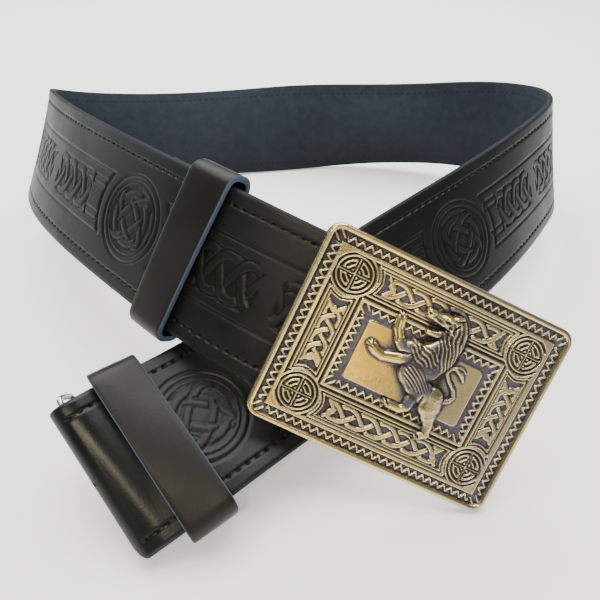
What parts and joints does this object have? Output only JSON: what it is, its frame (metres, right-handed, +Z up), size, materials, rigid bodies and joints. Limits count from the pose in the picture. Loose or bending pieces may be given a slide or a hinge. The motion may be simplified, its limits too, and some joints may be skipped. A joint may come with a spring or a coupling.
{
  "type": "kilt belt",
  "caption": "Wide black leather kilt belt standing on edge in a loop, with embossed knotwork, leather keepers and a cast plate buckle showing a rampant lion in a knotwork border.",
  "frame": {"origin": "centre of the belt's footprint, on the surface that it stands on", "axes": "+Z up, -Y towards the crossing and the buckle at the front, +X to the right of someone facing the buckle"},
  "size_m": [0.3058, 0.312, 0.0968],
  "materials": {
    "black_leather": "satin black leather, suede on the inner side",
    "antique_brass": "polished relief with dark recesses",
    "steel_wire": "plain drawn wire"
  },
  "bodies": {
    "belt": {"strap": "black_leather", "keeper_buckle_end": "black_leather", "keeper_hook_end": "black_leather", "catch_loop": "steel_wire"},
    "buckle": {"buckle": "antique_brass"}
  },
  "joints": [
    {"name": "buckle_hinge", "type": "hinge", "parent": "belt", "child": "buckle", "pos_m": [0.01377, -0.09797, 0.05316], "axis": [-0.4364, -0.4615, -0.7724], "range_deg": [0, 10]}
  ]
}
